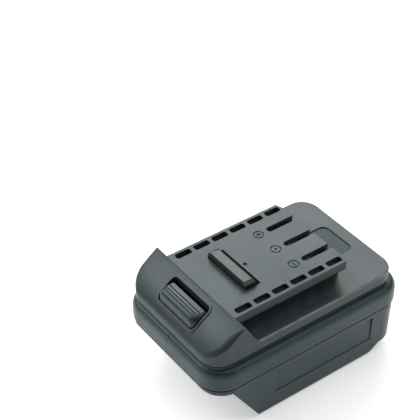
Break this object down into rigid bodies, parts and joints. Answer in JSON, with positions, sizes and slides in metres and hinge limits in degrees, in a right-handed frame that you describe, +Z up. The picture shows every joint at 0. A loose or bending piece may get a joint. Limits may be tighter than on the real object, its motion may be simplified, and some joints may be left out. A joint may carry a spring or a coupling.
{
  "type": "tool battery adapter",
  "caption": "Slide-on adapter block with a railed head, a sprung release latch and an open bay with blade contacts, for running a cordless tool on another pack.",
  "frame": {"origin": "middle of the outline seen from above, at the level of the skirts' feet", "axes": "+Z up out of the rail head, -Y to the front end with the release button, +X to the right seen from the front"},
  "size_m": [0.08, 0.1226, 0.069],
  "materials": {
    "housing_plastic": "dark grey moulded plastic with a fine matt grain",
    "latch_plastic": "dark grey moulded plastic, slightly smoother than the housing",
    "block_plastic": "black moulded insulating plastic",
    "sheet": "thin grey insulating sheet",
    "contact_plate": "bright tinned contact strip",
    "spring_bronze": "spring bronze strip",
    "steel": "zinc-plated steel",
    "spring_steel": "drawn spring wire",
    "board": "green board laminate",
    "component": "black moulded component body",
    "capacitor_sleeve": "dark shrink sleeve",
    "lead_red": "red lead insulation",
    "lead_black": "black lead insulation",
    "lead_yellow": "yellow lead insulation"
  },
  "bodies": {
    "housing": {"top_cover": "housing_plastic", "shell_left": "housing_plastic", "shell_right": "housing_plastic", "terminal_block": "block_plastic", "insulator_pad": "sheet", "blade_positive": "contact_plate", "blade_negative": "contact_plate", "clip_carrier": "block_plastic", "clip_positive": "spring_bronze", "clip_signal": "spring_bronze", "clip_negative": "spring_bronze", "carrier_screws": "steel", "circuit_board": "board", "capacitor": "capacitor_sleeve", "power_switch": "component", "control_chip": "component", "board_screws": "steel", "lead_positive": "lead_red", "lead_negative": "lead_black", "lead_signal": "lead_yellow", "latch_spring_left": "spring_steel", "latch_spring_right": "spring_steel", "spring_bracket": "block_plastic", "bracket_screws": "steel", "housing_screws": "steel"},
    "latch": {"latch_slide": "block_plastic", "release_button": "latch_plastic", "latch_hook": "latch_plastic"}
  },
  "joints": [
    {"name": "latch_press", "type": "slide", "parent": "housing", "child": "latch", "axis": [0, 0, -1], "range_m": [0, 0.0042], "stiffness_N_per_m": 900, "springref_m": -0.003, "deforming": ["latch_spring_left", "latch_spring_right"]}
  ]
}
